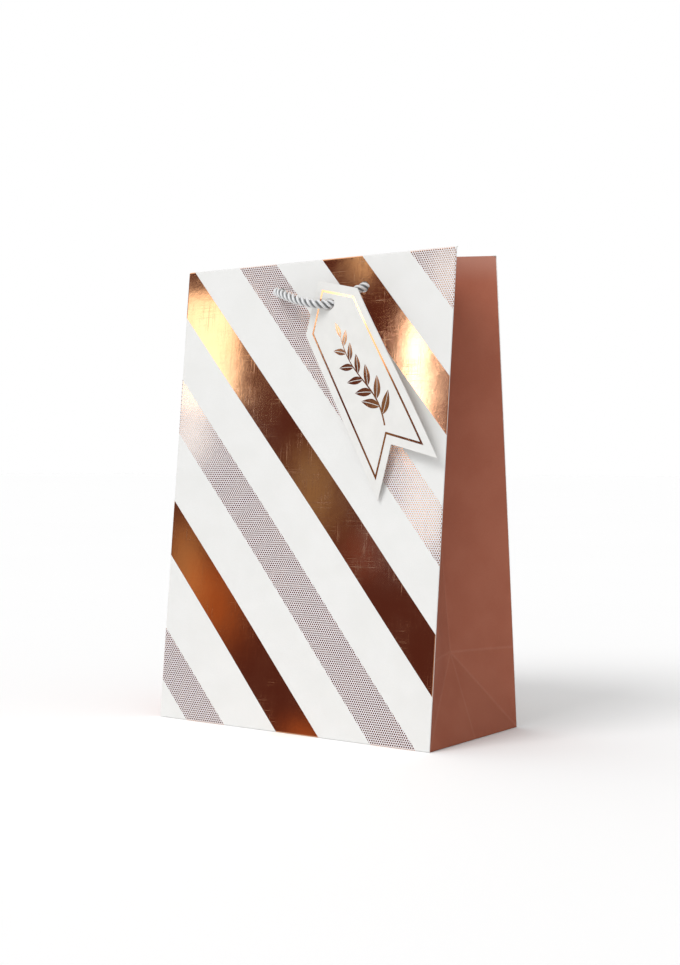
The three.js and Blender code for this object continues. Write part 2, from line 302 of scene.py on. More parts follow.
def inner_paper():
    """The uncoated inside of the sheet, and its cut edges."""
    made, tree = new_material("inner_paper", Specular_IOR_Level=0.2)
    place = object_place(tree)
    fibres = rough_noise(place, 700.0, 8.0, 1.5)
    return connect(
        made,
        Base_Color=mix_color(
            ramp(fibres, 0.3, 0.7), rgb(0.72, 0.70, 0.66), rgb(0.82, 0.81, 0.78)),
        Roughness=ramp(fibres, 0.2, 0.8, 0.75, 0.95),
        Normal=bump(fibres, 0.0001, 0.6),
    )


def foil_surface(place):
    """Colour, roughness and normal of hot-stamped foil on paper."""
    drift = rough_noise(place, 34.0, 3.0)
    grain = rough_noise(place, 2400.0, 3.0)
    long_scratches = vector_calc("MULTIPLY", place, (3200.0, 42.0, 42.0))
    cross_scratches = vector_calc("MULTIPLY", place, (36.0, 2900.0, 36.0))
    scratch = calc(
        "MAXIMUM",
        ramp(rough_noise(long_scratches, 1.0, 1.0), 0.55, 0.80),
        ramp(rough_noise(cross_scratches, 1.0, 1.0), 0.56, 0.82),
    )
    patches = ramp(rough_noise(place, 48.0, 2.0), 0.40, 0.60, 0.2, 1.0)
    scuffed = calc("MULTIPLY", scratch, patches)
    color = mix_color(ramp(drift, 0.3, 0.7), COPPER_SHADE, COPPER)
    smooth = calc("ADD", ramp(drift, 0.3, 0.75, 0.08, 0.13), calc("MULTIPLY", grain, 0.06))
    roughness = calc("ADD", smooth, calc("MULTIPLY", scuffed, 0.22))
    waves = bump(rough_noise(place, 55.0, 2.0), 0.0002, 0.35)
    hammered = bump(rough_noise(place, 480.0, 1.0), 0.00003, 0.35, waves)
    tooth = bump(grain, 0.00001, 0.4, hammered)
    normal = bump(scuffed, 0.00001, 0.4, tooth)
    return color, roughness, normal


def foil():
    made, tree = new_material("foil", Metallic=1.0)
    color, roughness, normal = foil_surface(object_place(tree))
    return connect(made, Base_Color=color, Roughness=roughness, Normal=normal)


DOT_ACROSS = 0.00135
DOT_UP = 0.0023  # two staggered rows
DOT_RADIUS = 0.00047
DOT_EDGE = 0.00005


def dot_mask(place):
    """1 inside the dots of a staggered grid, and 0 between them."""
    cell = (DOT_ACROSS, DOT_UP, 1.0)
    nearest = None
    for shift in (0.0, 0.5):
        counted = vector_calc("DIVIDE", place, cell)
        moved = vector_calc("ADD", counted, (shift, shift, 0.0))
        inside = vector_calc("SUBTRACT", vector_calc("FRACTION", moved), (0.5, 0.5, 0.5))
        flat = vector_calc("MULTIPLY", inside, (DOT_ACROSS, DOT_UP, 0.0))
        distance = vector_calc("LENGTH", flat, output=1)
        nearest = distance if nearest is None else calc("MINIMUM", nearest, distance)
    return ramp(nearest, DOT_RADIUS - DOT_EDGE, DOT_RADIUS + DOT_EDGE, 1.0, 0.0)


def dotted_paper():
    """Foil dots stamped on the white paper."""
    made, tree = new_material("dotted_paper")
    place = object_place(tree)
    mask = dot_mask(place)
    color, roughness, normal = foil_surface(place)
    paper_rough = rough_noise(place, 55.0, 6.0)
    rough_mix = add(tree, "Mix", {0: mask, 2: ramp(paper_rough, 0.2, 0.8, 0.5, 0.62), 3: roughness})
    return connect(
        made,
        Base_Color=mix_color(mask, DOTTED_WHITE, color),
        Metallic=mask,
        Roughness=rough_mix,
        Normal=normal,
    )


def crease_lines(place):
    """How near a point of a gusset is to its creases, from 0 to 1. The creases are the same on all halves."""
    parts = split(place)
    depth = calc("ABSOLUTE", parts[1])
    level = calc("SUBTRACT", parts[2], APEX_HEIGHT)
    slant = math.hypot(APEX_HEIGHT, half_depth)
    run = calc("MULTIPLY", depth, APEX_HEIGHT / slant)
    rise = calc("MULTIPLY", level, half_depth / slant)
    diagonal = calc("ABSOLUTE", calc("ADD", run, rise))
    wobble = calc("MULTIPLY", rough_noise(place, 300.0), 0.0004)
    lines = None
    for distance, strength in ((diagonal, 0.6), (calc("ABSOLUTE", level), 0.6), (depth, 0.5)):
        near = ramp(calc("ADD", distance, wobble), CREASE_CORE, CREASE_REACH, strength, 0.0)
        lines = near if lines is None else calc("MAXIMUM", lines, near)
    return lines


def terracotta_paper():
    """Laid, mottled paper, worn along its creases with a painted highlight on them, and painted paler near
    the rim as painted light.
    """
    made, tree = new_material("terracotta_paper", Specular_IOR_Level=0.3)
    place = rest_place(tree)
    mottle = rough_noise(place, 40.0, 6.0)
    laid = rough_noise(vector_calc("MULTIPLY", place, (900.0, 900.0, 2600.0)), 1.0, 3.0)
    tooth = rough_noise(place, 1800.0, 4.0)
    base = mix_color(ramp(mottle, 0.3, 0.7), rgb(0.370, 0.110, 0.061), rgb(0.405, 0.130, 0.075))
    specked = mix_color(ramp(laid, 0.35, 0.75, 0.0, 0.12), base, rgb(0.52, 0.22, 0.14))
    # painted light: the gusset is painted lighter towards the rim, where light falls in over the front wall
    rim = ramp(split(place)[2], height - RIM_PAINTED_LIGHT, height, 0.0, 0.22)
    color = mix_color(rim, specked, rgb(0.74, 0.50, 0.42))
    # wear and painted highlight: the creases are painted lighter, partly as rubbed paper and partly as light
    # catching the folds; the same mask raises them in the bump
    wear_and_painted_highlight = calc("MULTIPLY", crease_lines(place), ramp(tooth, 0.2, 0.7, 0.35, 1.0))
    grain = calc("ADD", tooth, calc("MULTIPLY", laid, 0.7))
    return connect(
        made,
        Base_Color=mix_color(calc("MULTIPLY", wear_and_painted_highlight, 0.18), color, rgb(0.70, 0.40, 0.30)),
        Roughness=ramp(laid, 0.2, 0.8, 0.62, 0.8),
        Normal=bump(grain, 0.00006, 0.5, bump(wear_and_painted_highlight, 0.0002, 0.3)),
    )


def grey_board():
    made, tree = new_material("grey_board", Specular_IOR_Level=0.15)
    place = object_place(tree)
    fibres = rough_noise(place, 500.0, 9.0, 2.0)
    flecks = ramp(rough_noise(place, 1500.0, 2.0), 0.62, 0.72)
    pulp = mix_color(ramp(fibres, 0.3, 0.7), rgb(0.36, 0.33, 0.28), rgb(0.50, 0.47, 0.41))
    return connect(
        made,
        Base_Color=mix_color(calc("MULTIPLY", flecks, 0.6), pulp, rgb(0.18, 0.16, 0.14)),
        Roughness=ramp(fibres, 0.2, 0.8, 0.8, 1.0),
        Normal=bump(fibres, 0.00015, 0.7),
    )


def tag_card():
    made, tree = new_material("tag_card", Specular_IOR_Level=0.3)
    place = object_place(tree)
    mottle = rough_noise(place, 120.0, 5.0)
    return connect(
        made,
        Base_Color=mix_color(
            ramp(mottle, 0.3, 0.7), rgb(0.66, 0.655, 0.635), rgb(0.69, 0.685, 0.665)),
        Roughness=ramp(mottle, 0.2, 0.8, 0.5, 0.65),
        Normal=paper_grain(place, 1100.0, 0.00008),
    )


def satin_cord():
    """Bright rayon yarns that run along each strand, with painted shade that darkens the grooves between the
    strands.
    """
    made, tree = new_material(
        "satin_cord", Specular_IOR_Level=0.7, Sheen_Weight=0.35, Sheen_Roughness=0.35, Anisotropic=0.5)
    along_strand = add(tree, "UVMap", uv_map="strand")
    yarns = rough_noise(vector_calc("MULTIPLY", along_strand, (34.0, 260.0, 1.0)), 1.0, 3.0)
    fuzz = rough_noise(object_place(tree), 3000.0, 2.0)
    inner = add(tree, "Attribute", output=2, attribute_name="painted_groove_shade")
    # painted shade: the inner side of each strand, down in the grooves, is painted towards the dark colour
    painted_groove_shade = ramp(inner, 0.10, 0.36, 1.0, 0.16)
    yarn_tone_and_painted_shade = calc("MULTIPLY", ramp(yarns, 0.35, 0.65, 0.62, 1.0), painted_groove_shade)
    return connect(
        made,
        Base_Color=mix_color(yarn_tone_and_painted_shade, rgb(0.19, 0.195, 0.20), rgb(0.82, 0.83, 0.84)),
        Roughness=ramp(yarns, 0.3, 0.7, 0.42, 0.28),
        Normal=bump(calc("ADD", yarns, calc("MULTIPLY", fuzz, 0.3)), 0.00016, 0.7),
    )


# ---- mesh helpers ----

def link_mesh(mesh, names=(), matrix=Matrix()):
    """Puts a mesh in the scene as an object of the same name, with the materials of these names."""
    for name in names:
        mesh.materials.append(materials[name])
    return place_object(mesh.name, mesh, matrix)


def finished_mesh(name, shape):
    """The mesh of a bmesh, which is freed."""
    mesh = bpy.data.meshes.new(name)
    shape.to_mesh(mesh)
    shape.free()
    return mesh


def smooth(piece, sharp_angle=math.radians(32)):
    piece.data.shade_smooth()
    piece.data.set_sharp_from_angle(angle=sharp_angle)


def apply_modifiers(piece):
    bpy.context.view_layer.update()
    graph = bpy.context.evaluated_depsgraph_get()
    mesh = bpy.data.meshes.new_from_object(
        piece.evaluated_get(graph), preserve_all_data_layers=True, depsgraph=graph)
    piece.modifiers.clear()
    piece.data = mesh


def thicken(piece, thickness, **settings):
    """Turns an open sheet into a closed one, whose new side lies behind its face."""
    skin = piece.modifiers.new("skin", "SOLIDIFY")
    skin.thickness = thickness
    skin.offset = -1
    for key, value in settings.items():
        setattr(skin, key, value)
    apply_modifiers(piece)


def unit(vectors):
    return vectors / np.maximum(np.linalg.norm(vectors, axis=-1, keepdims=True), 1e-12)


def grid_normals(points):
    """The unit normals of a grid of points, rows going up and columns going across."""
    across = np.gradient(points, axis=1)
    up = np.gradient(points, axis=0)
    return unit(np.cross(across, up))


def grid_quads(rows, columns):
    """The faces of a grid whose points are numbered row by row."""
    firsts = [r * columns + c for r in range(rows - 1) for c in range(columns - 1)]
    return [(a, a + 1, a + columns + 1, a + columns) for a in firsts]


def sheet_mesh(name, points, thickness):
    """A closed sheet. points is its outer face, rows by columns. Faces on the outer face have material 0,
    and the inner face and the edges have material 1."""
    rows, columns = points.shape[:2]
    inner = points - grid_normals(points) * thickness
    vertices = np.concatenate([points.reshape(-1, 3), inner.reshape(-1, 3)])
    behind = rows * columns
    faces = []
    for quad in grid_quads(rows, columns):
        faces.append(quad)
        faces.append(tuple(i + behind for i in reversed(quad)))
    outer_and_inner = len(faces)
    index = np.arange(behind).reshape(rows, columns)
    loop = [int(i) for i in (*index[0, :], *index[1:, -1], *index[-1, -2::-1], *index[-2:0:-1, 0])]
    for a, b in zip(loop, loop[1:] + loop[:1]):
        faces.append((b, a, a + behind, b + behind))
    mesh = bpy.data.meshes.new(name)
    mesh.from_pydata(vertices.tolist(), [], faces)
    for number, polygon in enumerate(mesh.polygons):
        polygon.material_index = 0 if number < outer_and_inner and number % 2 == 0 else 1
    return mesh


def edge_drop(distance, radius):
    """How far a fold of this radius falls behind the flat face, this far from the sheet's edge."""
    if distance >= radius:
        return 0.0
    reach = radius - max(distance, 0.0)
    return radius - math.sqrt(max(radius * radius - reach * reach, 0.0))


def bow_at(across, up):
    """The slow bow of a wall, flat along its edges and in the stiff band at the rim."""
    share = min(max(up / (wall_length - RIM_BAND), 0.0), 1.0)
    width_share = min(abs(across) / half_width, 1.0)
    return -BOW * math.sin(math.pi * share) ** 2 * (1 - width_share ** 2) ** 1.5


def ripple_at(across, up, seed):
    """Small uneven waves that fade towards the folds and the rim."""
    fade = min(1.0, (half_width - abs(across)) / RIPPLE_FADE) * min(1.0, up / RIPPLE_FADE)
    fade *= min(1.0, max(0.0, (wall_length - RIM_BAND - up) / 0.05) + 0.12)
    place = Vector((across * RIPPLE_SCALE, up * RIPPLE_SCALE, seed))
    return RIPPLE * max(fade, 0.0) * noise.noise(place)


def wall_out(across, up, seed):
    """How far out of its plane a wall's outer face is."""
    folds = edge_drop(half_width - abs(across), SIDE_FOLD)
    folds += edge_drop(up, BOTTOM_FOLD) + edge_drop(wall_length - up, RIM_FOLD)
    return bow_at(across, up) + ripple_at(across, up, seed) - folds


def spaced_steps(length, step, fold_low, fold_high):
    """Places from 0 to length, close together on the folds at both ends."""
    turns = [math.radians(angle) for angle in (90, 72, 54, 36, 18, 0)]
    low = [fold_low * (1 - math.sin(turn)) for turn in turns] + [fold_low + FOLD_SUPPORT]
    high = [length - place for place in reversed(
        [fold_high * (1 - math.sin(turn)) for turn in turns] + [fold_high + FOLD_SUPPORT])]
    count = max(2, round((high[0] - low[-1]) / step))
    middle = [low[-1] + (high[0] - low[-1]) * i / count for i in range(1, count)]
    return low + middle + high


# ---- walls ----

RIM_TURN_STEPS = 5
RIM_ROWS = 11


def wall_sheet(side, seed, holes):
    """One wall and its turned-in rim, a single sheet folded over at the top."""
    shares = [place / half_width - 1 for place in
              spaced_steps(2 * half_width, WALL_STEP, SIDE_FOLD, SIDE_FOLD)]
    rows = []
    for up in spaced_steps(wall_length, WALL_STEP, BOTTOM_FOLD, RIM_FOLD):
        rows.append([(share * half_width, up, wall_out(share * half_width, up, seed)) for share in shares])
    for step in range(1, RIM_TURN_STEPS + 1):
        turn = math.pi / 2 * step / RIM_TURN_STEPS
        narrow = half_width - RIM_SIDE_GAP * math.sin(turn)
        up = wall_length - RIM_FOLD * (1 - math.cos(turn))
        rows.append([(share * narrow, up, -RIM_FOLD * (1 + math.sin(turn))) for share in shares])
    for step in range(1, RIM_ROWS + 1):
        up = wall_length - RIM_FOLD - (RIM_BAND - RIM_FOLD) * step / RIM_ROWS
        rows.append([(share * (half_width - RIM_SIDE_GAP), up, -2 * RIM_FOLD) for share in shares])
    sheet = link_mesh(
        sheet_mesh(f"{side}_wall_sheet", np.array(rows), PAPER),
        ["white_paper", "inner_paper"], wall_matrix(side))
    punch(sheet, holes)
    smooth(sheet)
    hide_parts(f"{side}_panel", f"{side}_turned_in_rim")
    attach(sheet, f"{side}_wall")


def punch(piece, holes, size=(HOLE_RADIUS, HOLE_RADIUS), turn=0.0, sides=36):
    """Cuts round or oval holes through a piece. Their centres are given in the piece's own axes."""
    cutters = []
    for across, up in holes:
        shape = bmesh.new()
        bmesh.ops.create_cone(shape, cap_ends=True, segments=sides, radius1=1.0, radius2=1.0, depth=0.02)
        oval = Matrix.Rotation(turn, 4, "Z") @ Matrix.Diagonal((*size, 1.0, 1.0))
        place = piece.matrix_world @ Matrix.Translation((across, up, 0)) @ oval
        cutter = link_mesh(finished_mesh("cutter", shape), (), place)
        modifier = piece.modifiers.new("punch", "BOOLEAN")
        modifier.operation = "DIFFERENCE"
        modifier.solver = "EXACT"
        modifier.object = cutter
        cutters.append(cutter)
    apply_modifiers(piece)
    for cutter in cutters:
        bpy.data.objects.remove(cutter)


BAND_COLUMNS = 92
BAND_ROWS = 12
BAND_OVERRUN = 0.004  # a band is drawn this much too long, and then trimmed
HOLE_REACH = 0.01  # a hole this near to a band is punched through it too


def slanting_grid(low, high, fall):
    """A flat grid between two slanting lines, given by their heights at the middle of the wall."""
    shape = bmesh.new()
    reach = half_width + BAND_OVERRUN
    columns = []
    for c in range(BAND_COLUMNS + 1):
        across = -reach + 2 * reach * c / BAND_COLUMNS
        columns.append([
            shape.verts.new((across, -fall * across + low + (high - low) * r / BAND_ROWS, 0))
            for r in range(BAND_ROWS + 1)
        ])
    for left, right in zip(columns, columns[1:]):
        for r in range(BAND_ROWS):
            shape.faces.new((left[r], right[r], right[r + 1], left[r + 1]))
    return shape


def fit_to_wall(shape):
    """Trims a flat shape to the wall's outline, and cuts it along the folds that it bends over."""
    outline = [
        ((half_width - EDGE_MARGIN, 0, 0), (1, 0, 0)), ((EDGE_MARGIN - half_width, 0, 0), (-1, 0, 0)),
        ((0, wall_length - EDGE_MARGIN, 0), (0, 1, 0)), ((0, EDGE_MARGIN, 0), (0, -1, 0)),
    ]
    folds = []
    for share in (0.5, 1.0, 1.0 + FOLD_SUPPORT / SIDE_FOLD):
        folds.append(((half_width - share * SIDE_FOLD, 0, 0), (1, 0, 0)))
        folds.append(((share * SIDE_FOLD - half_width, 0, 0), (1, 0, 0)))
    for share in (0.5, 1.0, 1.0 + FOLD_SUPPORT / RIM_FOLD):
        folds.append(((0, wall_length - share * RIM_FOLD, 0), (0, 1, 0)))
        folds.append(((0, share * BOTTOM_FOLD, 0), (0, 1, 0)))
    for cuts, trim in ((outline, True), (folds, False)):
        for place, direction in cuts:
            whole = [*shape.verts, *shape.edges, *shape.faces]
            bmesh.ops.bisect_plane(shape, geom=whole, plane_co=place, plane_no=direction, clear_outer=trim)


def band(side, number, seed, holes):
    """One slanting printed band that follows the wall's surface."""
    kind, low, high, fall = BANDS[number]
    shape = slanting_grid(low, high, fall)
    fit_to_wall(shape)
    for vertex in shape.verts:
        across, up = vertex.co.x, vertex.co.y
        vertex.co = Vector((across, up, wall_out(across, up, seed) + FOIL_LIFT))
    name = f"{side}_{kind}_band_{number + 1}"
    surface = "foil" if kind == "foil" else "dotted_paper"
    piece = link_mesh(finished_mesh(name, shape), [surface], wall_matrix(side))
    thicken(piece, FOIL_LIFT * 0.6)
    crossed = [
        (across, up) for across, up in holes
        if low - HOLE_REACH < up + fall * across < high + HOLE_REACH
    ]
    if crossed:
        punch(piece, crossed)
    smooth(piece, math.radians(50))
    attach(piece, f"{side}_wall")


SEAM_ROWS = 49
SEAM_COLUMNS = 6
SEAM_LOW = 0.008  # from the bag's bottom to the glue flap's lower end
SEAM_BELOW_RIM = 0.0004
SEAM_GAP = 0.00012  # between the flap and the wall's inside


def seam_flap():
    """The strip inside the back wall where the sheet is glued into a tube."""
    low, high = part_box("glue_seam_flap")
    left, right = sorted((-low.x, -high.x))
    rows = []
    for r in range(SEAM_ROWS + 1):
        up = SEAM_LOW + (wall_length - RIM_BAND - SEAM_BELOW_RIM - SEAM_LOW) * r / SEAM_ROWS
        cells = [left + (right - left) * c / SEAM_COLUMNS for c in range(SEAM_COLUMNS + 1)]
        rows.append([(across, up, wall_out(across, up, BACK_SEED) - PAPER - SEAM_GAP) for across in cells])
    flap = link_mesh(
        sheet_mesh("glue_seam_flap_sheet", np.array(rows), PAPER),
        ["inner_paper", "inner_paper"], wall_matrix("back"))
    smooth(flap)
    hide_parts("glue_seam_flap")
    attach(flap, "back_wall")


# ---- gussets ----

GUSSET_INSET = 0.00012  # the gusset's edge lies this far inside the walls' edges
GUSSET_BEHIND = SIDE_FOLD * 0.8  # and this far behind the wall's face
GUSSET_GAP = 0.0002  # it stops this far short of the floor and of the rim
GUSSET_SAG = 0.0009
FULL_SAG_WIDTH = 0.04  # narrower panels sag less
GUSSET_RIPPLE = 0.0003
TRIANGLE_ROWS = 18  # rows of the grid up to the apex
PANEL_ROWS = 56  # rows above it
PANEL_COLUMNS = 22
TRIANGLE_COLUMNS = 14


def gusset_edge(level):
    """Where the front half of the right gusset meets the wall, just inside the fold."""
    behind = GUSSET_BEHIND / math.cos(lean)
    return np.array((half_width - GUSSET_INSET, -half_depth + level * math.tan(lean) + behind, level))


def gusset_crease(level):
    """The diagonal crease below the apex, and the centre crease above it."""
    if level < APEX_HEIGHT:
        share = level / APEX_HEIGHT
        return np.array((half_width - APEX_INSET * share, -half_depth * (1 - share), level))
    share = (level - APEX_HEIGHT) / (height - APEX_HEIGHT)
    return np.array((half_width - APEX_INSET - (RIM_INSET - APEX_INSET) * share, 0.0, level))


def panel_row(shape, level, seed):
    """One row of a panel, from the wall's edge to the crease. It sags inwards a little."""
    start, finish = gusset_edge(level), gusset_crease(level)
    along = finish - start
    outward = unit(np.array((along[1], -along[0], 0.0)))
    sag = GUSSET_SAG * min(1.0, np.linalg.norm(along) / FULL_SAG_WIDTH)
    row = []
    for c in range(PANEL_COLUMNS + 1):
        share = c / PANEL_COLUMNS
        ripple = GUSSET_RIPPLE * noise.noise(Vector((share * 2.0, level * 14.0, seed)))
        inwards = (sag - ripple) * math.sin(math.pi * share)
        row.append(shape.verts.new(start + along * share - outward * inwards))
    return row


def triangle_row(shape, first, depth):
    """One row of the bottom triangle, from a vertex on the diagonal crease to the middle of the bag."""
    row = [first]
    for c in range(1, TRIANGLE_COLUMNS + 1):
        row.append(shape.verts.new((first.co.x, depth * (1 - c / TRIANGLE_COLUMNS), first.co.z)))
    return row


def bottom_triangle(shape, corner, creases):
    """Half of the flat triangle at the bottom. Its last row shrinks to the apex."""
    below = triangle_row(shape, corner, -half_depth)
    for crease in creases:
        at_apex = crease is creases[-1]
        row = [crease] * (TRIANGLE_COLUMNS + 1) if at_apex else triangle_row(shape, crease, crease.co.y)
        for c in range(TRIANGLE_COLUMNS):
            shape.faces.new(list(dict.fromkeys((below[c], below[c + 1], row[c + 1], row[c]))))
        below = row


def gusset_half(side, end):
    """Half of a side gusset and half of its bottom triangle, which meet at the diagonal crease. It is drawn
    as the front half of the right gusset, and then mirrored into its place."""
    direction = 1 if side == "right" else -1
    across = -1 if end == "front" else 1
    levels = [APEX_HEIGHT * r / TRIANGLE_ROWS for r in range(1, TRIANGLE_ROWS + 1)]
    above = height - GUSSET_GAP - APEX_HEIGHT
    levels += [APEX_HEIGHT + above * r / PANEL_ROWS for r in range(1, PANEL_ROWS + 1)]
    shape = bmesh.new()
    rows = [panel_row(shape, level, 3.0 + direction + 5 * across) for level in levels]
    corner = shape.verts.new((half_width - GUSSET_INSET, -half_depth + GUSSET_BEHIND, GUSSET_GAP))
    for lower, upper in zip(rows, rows[1:]):
        for c in range(PANEL_COLUMNS):
            shape.faces.new((lower[c], lower[c + 1], upper[c + 1], upper[c]))
    for c in range(PANEL_COLUMNS):
        shape.faces.new((corner, rows[0][c + 1], rows[0][c]))
    bottom_triangle(shape, corner, [row[-1] for row in rows[:TRIANGLE_ROWS]])
    for vertex in shape.verts:
        vertex.co = Vector((vertex.co.x * direction, -vertex.co.y * across, vertex.co.z))
    if direction * across > 0:
        bmesh.ops.reverse_faces(shape, faces=shape.faces)
    name = f"{side}_gusset_{end}_half"
    half = link_mesh(finished_mesh(name, shape), ["terracotta_paper", "inner_paper"])
    thicken(half, PAPER, material_offset=1, material_offset_rim=1)
    smooth(half, math.radians(20))
    rest = half.data.attributes.new("rest", "FLOAT_VECTOR", "POINT")
    rest.data.foreach_set("vector", [value for vertex in half.data.vertices for value in vertex.co])
    replaced = [f"{side}_gusset_inner_{end}", f"{side}_gusset_outer_{end}"]
    if end == "front":
        replaced.append(f"{side}_gusset_bottom")
    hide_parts(*replaced)
    bend_between(half)


def bend_between(half):
    """Bakes the half's placement into its own mesh."""
    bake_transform(half)


# ---- rope handles ----

CURVE_SAMPLES = 16  # between two points of a route
ROPE_STEP = 0.00055
KNOT_STEP = 0.0006
KNOT_RADIUS = 0.0046
KNOT_TURNS = 1.7
KNOT_TURN_POINTS = 22
KNOT_FIRST_ANGLE = 0.45
KNOT_BOTTOM = -0.0125  # the turns climb from here
KNOT_TOP = -0.0027
PATH_EVERY = 4  # the path has every fourth point of the rope


def between(first, second, low, high, t):
    """The point at t on the line that is at first when t is low, and at second when it is high."""
    return (high - t) / (high - low) * first + (t - low) / (high - low) * second


def smooth_route(route, step):
    """A centripetal Catmull-Rom curve through the route, with points a step apart."""
    points = np.array(route, float)
    points = np.vstack([2 * points[0] - points[1], points, 2 * points[-1] - points[-2]])
    fine = []
    for p0, p1, p2, p3 in zip(points, points[1:], points[2:], points[3:]):
        t1 = math.sqrt(np.linalg.norm(p1 - p0))
        t2 = t1 + math.sqrt(np.linalg.norm(p2 - p1))
        t3 = t2 + math.sqrt(np.linalg.norm(p3 - p2))
        for t in np.linspace(t1, t2, CURVE_SAMPLES, endpoint=False):
            a1 = between(p0, p1, 0.0, t1, t)
            a2 = between(p1, p2, t1, t2, t)
            a3 = between(p2, p3, t2, t3, t)
            fine.append(between(between(a1, a2, 0.0, t2, t), between(a2, a3, t1, t3, t), t1, t2, t))
    fine.append(points[-2])
    fine = np.array(fine)
    along = np.concatenate([[0], np.cumsum(np.linalg.norm(np.diff(fine, axis=0), axis=1))])
    places = np.linspace(0, along[-1], round(along[-1] / step) + 1)
    return np.stack([np.interp(places, along, fine[:, k]) for k in range(3)], axis=1), along[-1]


def carried_frames(line):
    """Tangents, and a pair of side directions carried along the line without twist."""
    tangents = unit(np.gradient(line, axis=0))
    side = np.cross(tangents[0], (0.3, 0.2, 1.0))
    sides = []
    for tangent in tangents:
        side = unit(side - tangent * (side @ tangent))
        sides.append(side)
    sides = np.array(sides)
    return tangents, sides, np.cross(tangents, sides)


STRAND_RADIUS = 0.00118
STRAND_WIDTH = 0.00092  # half the width of a strand where it lies beside its neighbours
STRAND_SPREAD = 0.00128  # from the rope's middle to a strand's middle
ROPE_LAY = 0.0100  # length of one full turn of the strands
STRAND_SIDES = 14


def rope_mesh(name, line):
    """Three strands laid round each other along the line, each a closed tube."""
    step = np.linalg.norm(np.diff(line, axis=0), axis=1)
    along = np.concatenate([[0], np.cumsum(step)])
    _, side, other = carried_frames(line)
    vertices, faces, strand_uv, grooves = [], [], [], []
    for strand in range(3):
        angle = 2 * math.pi * (strand / 3) + 2 * math.pi * along / ROPE_LAY
        radial = side * np.cos(angle)[:, None] + other * np.sin(angle)[:, None]
        middle = line + radial * STRAND_SPREAD
        cross = np.cross(unit(np.gradient(middle, axis=0)), radial)
        first = len(vertices)
        for number in range(len(line)):
            for s in range(STRAND_SIDES):
                turn = 2 * math.pi * s / STRAND_SIDES
                out = math.cos(turn) * STRAND_RADIUS
                wide = math.sin(turn) * STRAND_WIDTH
                vertices.append(middle[number] + radial[number] * out + cross[number] * wide)
                # how far round a point lies towards the strand's inner side, where painted shade is laid in
                # the grooves
                grooves.append(0.5 - 0.5 * math.cos(turn))
        for number in range(len(line) - 1):
            for s in range(STRAND_SIDES):
                a = first + number * STRAND_SIDES + s
                b = first + number * STRAND_SIDES + (s + 1) % STRAND_SIDES
                faces.append((a, b, b + STRAND_SIDES, a + STRAND_SIDES))
                u0, u1 = s / STRAND_SIDES, (s + 1) / STRAND_SIDES
                v0, v1 = along[number] / ROPE_LAY, along[number + 1] / ROPE_LAY
                strand_uv.extend([(u0, v0), (u1, v0), (u1, v1), (u0, v1)])
        ends = range(first, first + STRAND_SIDES)
        far = range(len(vertices) - STRAND_SIDES, len(vertices))
        faces.extend([tuple(reversed(ends)), tuple(far)])
        strand_uv.extend([(0.5, 0.0)] * STRAND_SIDES + [(0.5, along[-1] / ROPE_LAY)] * STRAND_SIDES)
    mesh = bpy.data.meshes.new(name)
    mesh.from_pydata([tuple(v) for v in vertices], [], faces)
    layer = mesh.uv_layers.new(name="strand")
    layer.data.foreach_set("uv", [value for pair in strand_uv for value in pair])
    painted_groove_shade = mesh.attributes.new("painted_groove_shade", "FLOAT", "POINT")
    painted_groove_shade.data.foreach_set("value", grooves)
    return mesh


def knot_line(start, direction):
    """A barrel knot: down the middle, round the rope for almost two turns, and a short tail."""
    points = [(0, 0, 0), (0, -0.004, 0), (0, -0.008, 0), (0.0004, -0.0115, 0.0003), (0.0024, -0.0140, 0.0012)]
    for i in range(KNOT_TURN_POINTS + 1):
        angle = KNOT_FIRST_ANGLE + 2 * math.pi * KNOT_TURNS * i / KNOT_TURN_POINTS
        level = KNOT_BOTTOM + (KNOT_TOP - KNOT_BOTTOM) * i / KNOT_TURN_POINTS
        points.append((KNOT_RADIUS * math.cos(angle), level, KNOT_RADIUS * math.sin(angle)))
    last = KNOT_FIRST_ANGLE + 2 * math.pi * KNOT_TURNS
    for push, drop in ((0.003, 0.0006), (0.0055, -0.0016), (0.0072, -0.005)):
        x = KNOT_RADIUS * math.cos(last) - push * math.sin(last)
        z = KNOT_RADIUS * math.sin(last) + push * math.cos(last)
        points.append((x, KNOT_TOP + drop, z))
    turn = Vector((0, -1, 0)).rotation_difference(Vector(direction)).to_matrix()
    return [Vector(start) + turn @ Vector(point) for point in points]


def rope_handle(side, route):
    """One handle in its wall's axes: the rope itself, and a knot on each end."""
    matrix = wall_matrix(side)
    line, length = smooth_route(route, ROPE_STEP)
    rope = link_mesh(rope_mesh(f"{side}_rope", line), ["satin_cord"], matrix)
    rope.data.shade_smooth()
    for end, start, direction in (("a", line[0], line[0] - line[2]), ("b", line[-1], line[-1] - line[-3])):
        knotted, _ = smooth_route(knot_line(start, direction), KNOT_STEP)
        knot = link_mesh(
            rope_mesh(f"{side}_rope_knot_{end}", knotted), ["satin_cord"], matrix)
        knot.data.shade_smooth()
        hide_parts(f"{side}_handle_knot_{end}")
        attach(knot, f"{side}_wall")
    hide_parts(f"{side}_handle_cord")
    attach(rope, f"{side}_wall")
    path = [tuple(matrix @ Vector(point)) for point in line[::PATH_EVERY]]
    path.append(tuple(matrix @ Vector(line[-1])))


# ---- gift tag ----

TAG_CURL = 0.0030
TAG_CURL_LEVEL = -0.012  # the curl is strongest here, measured from the hole
TAG_CURL_REACH = 0.048


def tag_lift(x, y):
    """The card's gentle curl, which lifts its upper right side off the wall."""
    def curl(across, up):
        strength = math.exp(-(((up - TAG_CURL_LEVEL) / TAG_CURL_REACH) ** 2))
        return TAG_CURL * (across / TAG_WIDTH + 0.5) ** 2 * strength
    return curl(x, y) - curl(0.0, 0.0)


